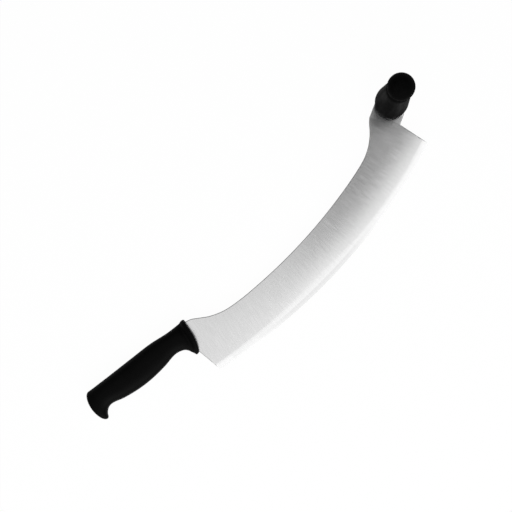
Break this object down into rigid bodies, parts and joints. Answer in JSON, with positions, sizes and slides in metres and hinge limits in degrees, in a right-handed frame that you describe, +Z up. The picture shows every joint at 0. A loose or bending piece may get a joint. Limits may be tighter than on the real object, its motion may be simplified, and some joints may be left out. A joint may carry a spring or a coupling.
{
  "type": "cheese knife",
  "caption": "Large curved steel cheese knife with a moulded grip at the heel and a round upright handle at the tip.",
  "frame": {"origin": "under the middle of the bounding box, in the plane that the main handle lies on", "axes": "+X along the chord of the cutting edge from heel to tip, +Y from the edge towards the spine, +Z up along the second handle, square to the blade"},
  "size_m": [0.523, 0.1194, 0.1314],
  "materials": {
    "blade_steel": "stainless steel, brushed across the blade, with a brighter ground bevel along the edge",
    "handle_plastic": "satin black moulded plastic with a very fine grain"
  },
  "bodies": {
    "root": {"blade": "blade_steel", "main_handle": "handle_plastic", "second_handle": "handle_plastic"}
  },
  "joints": []
}
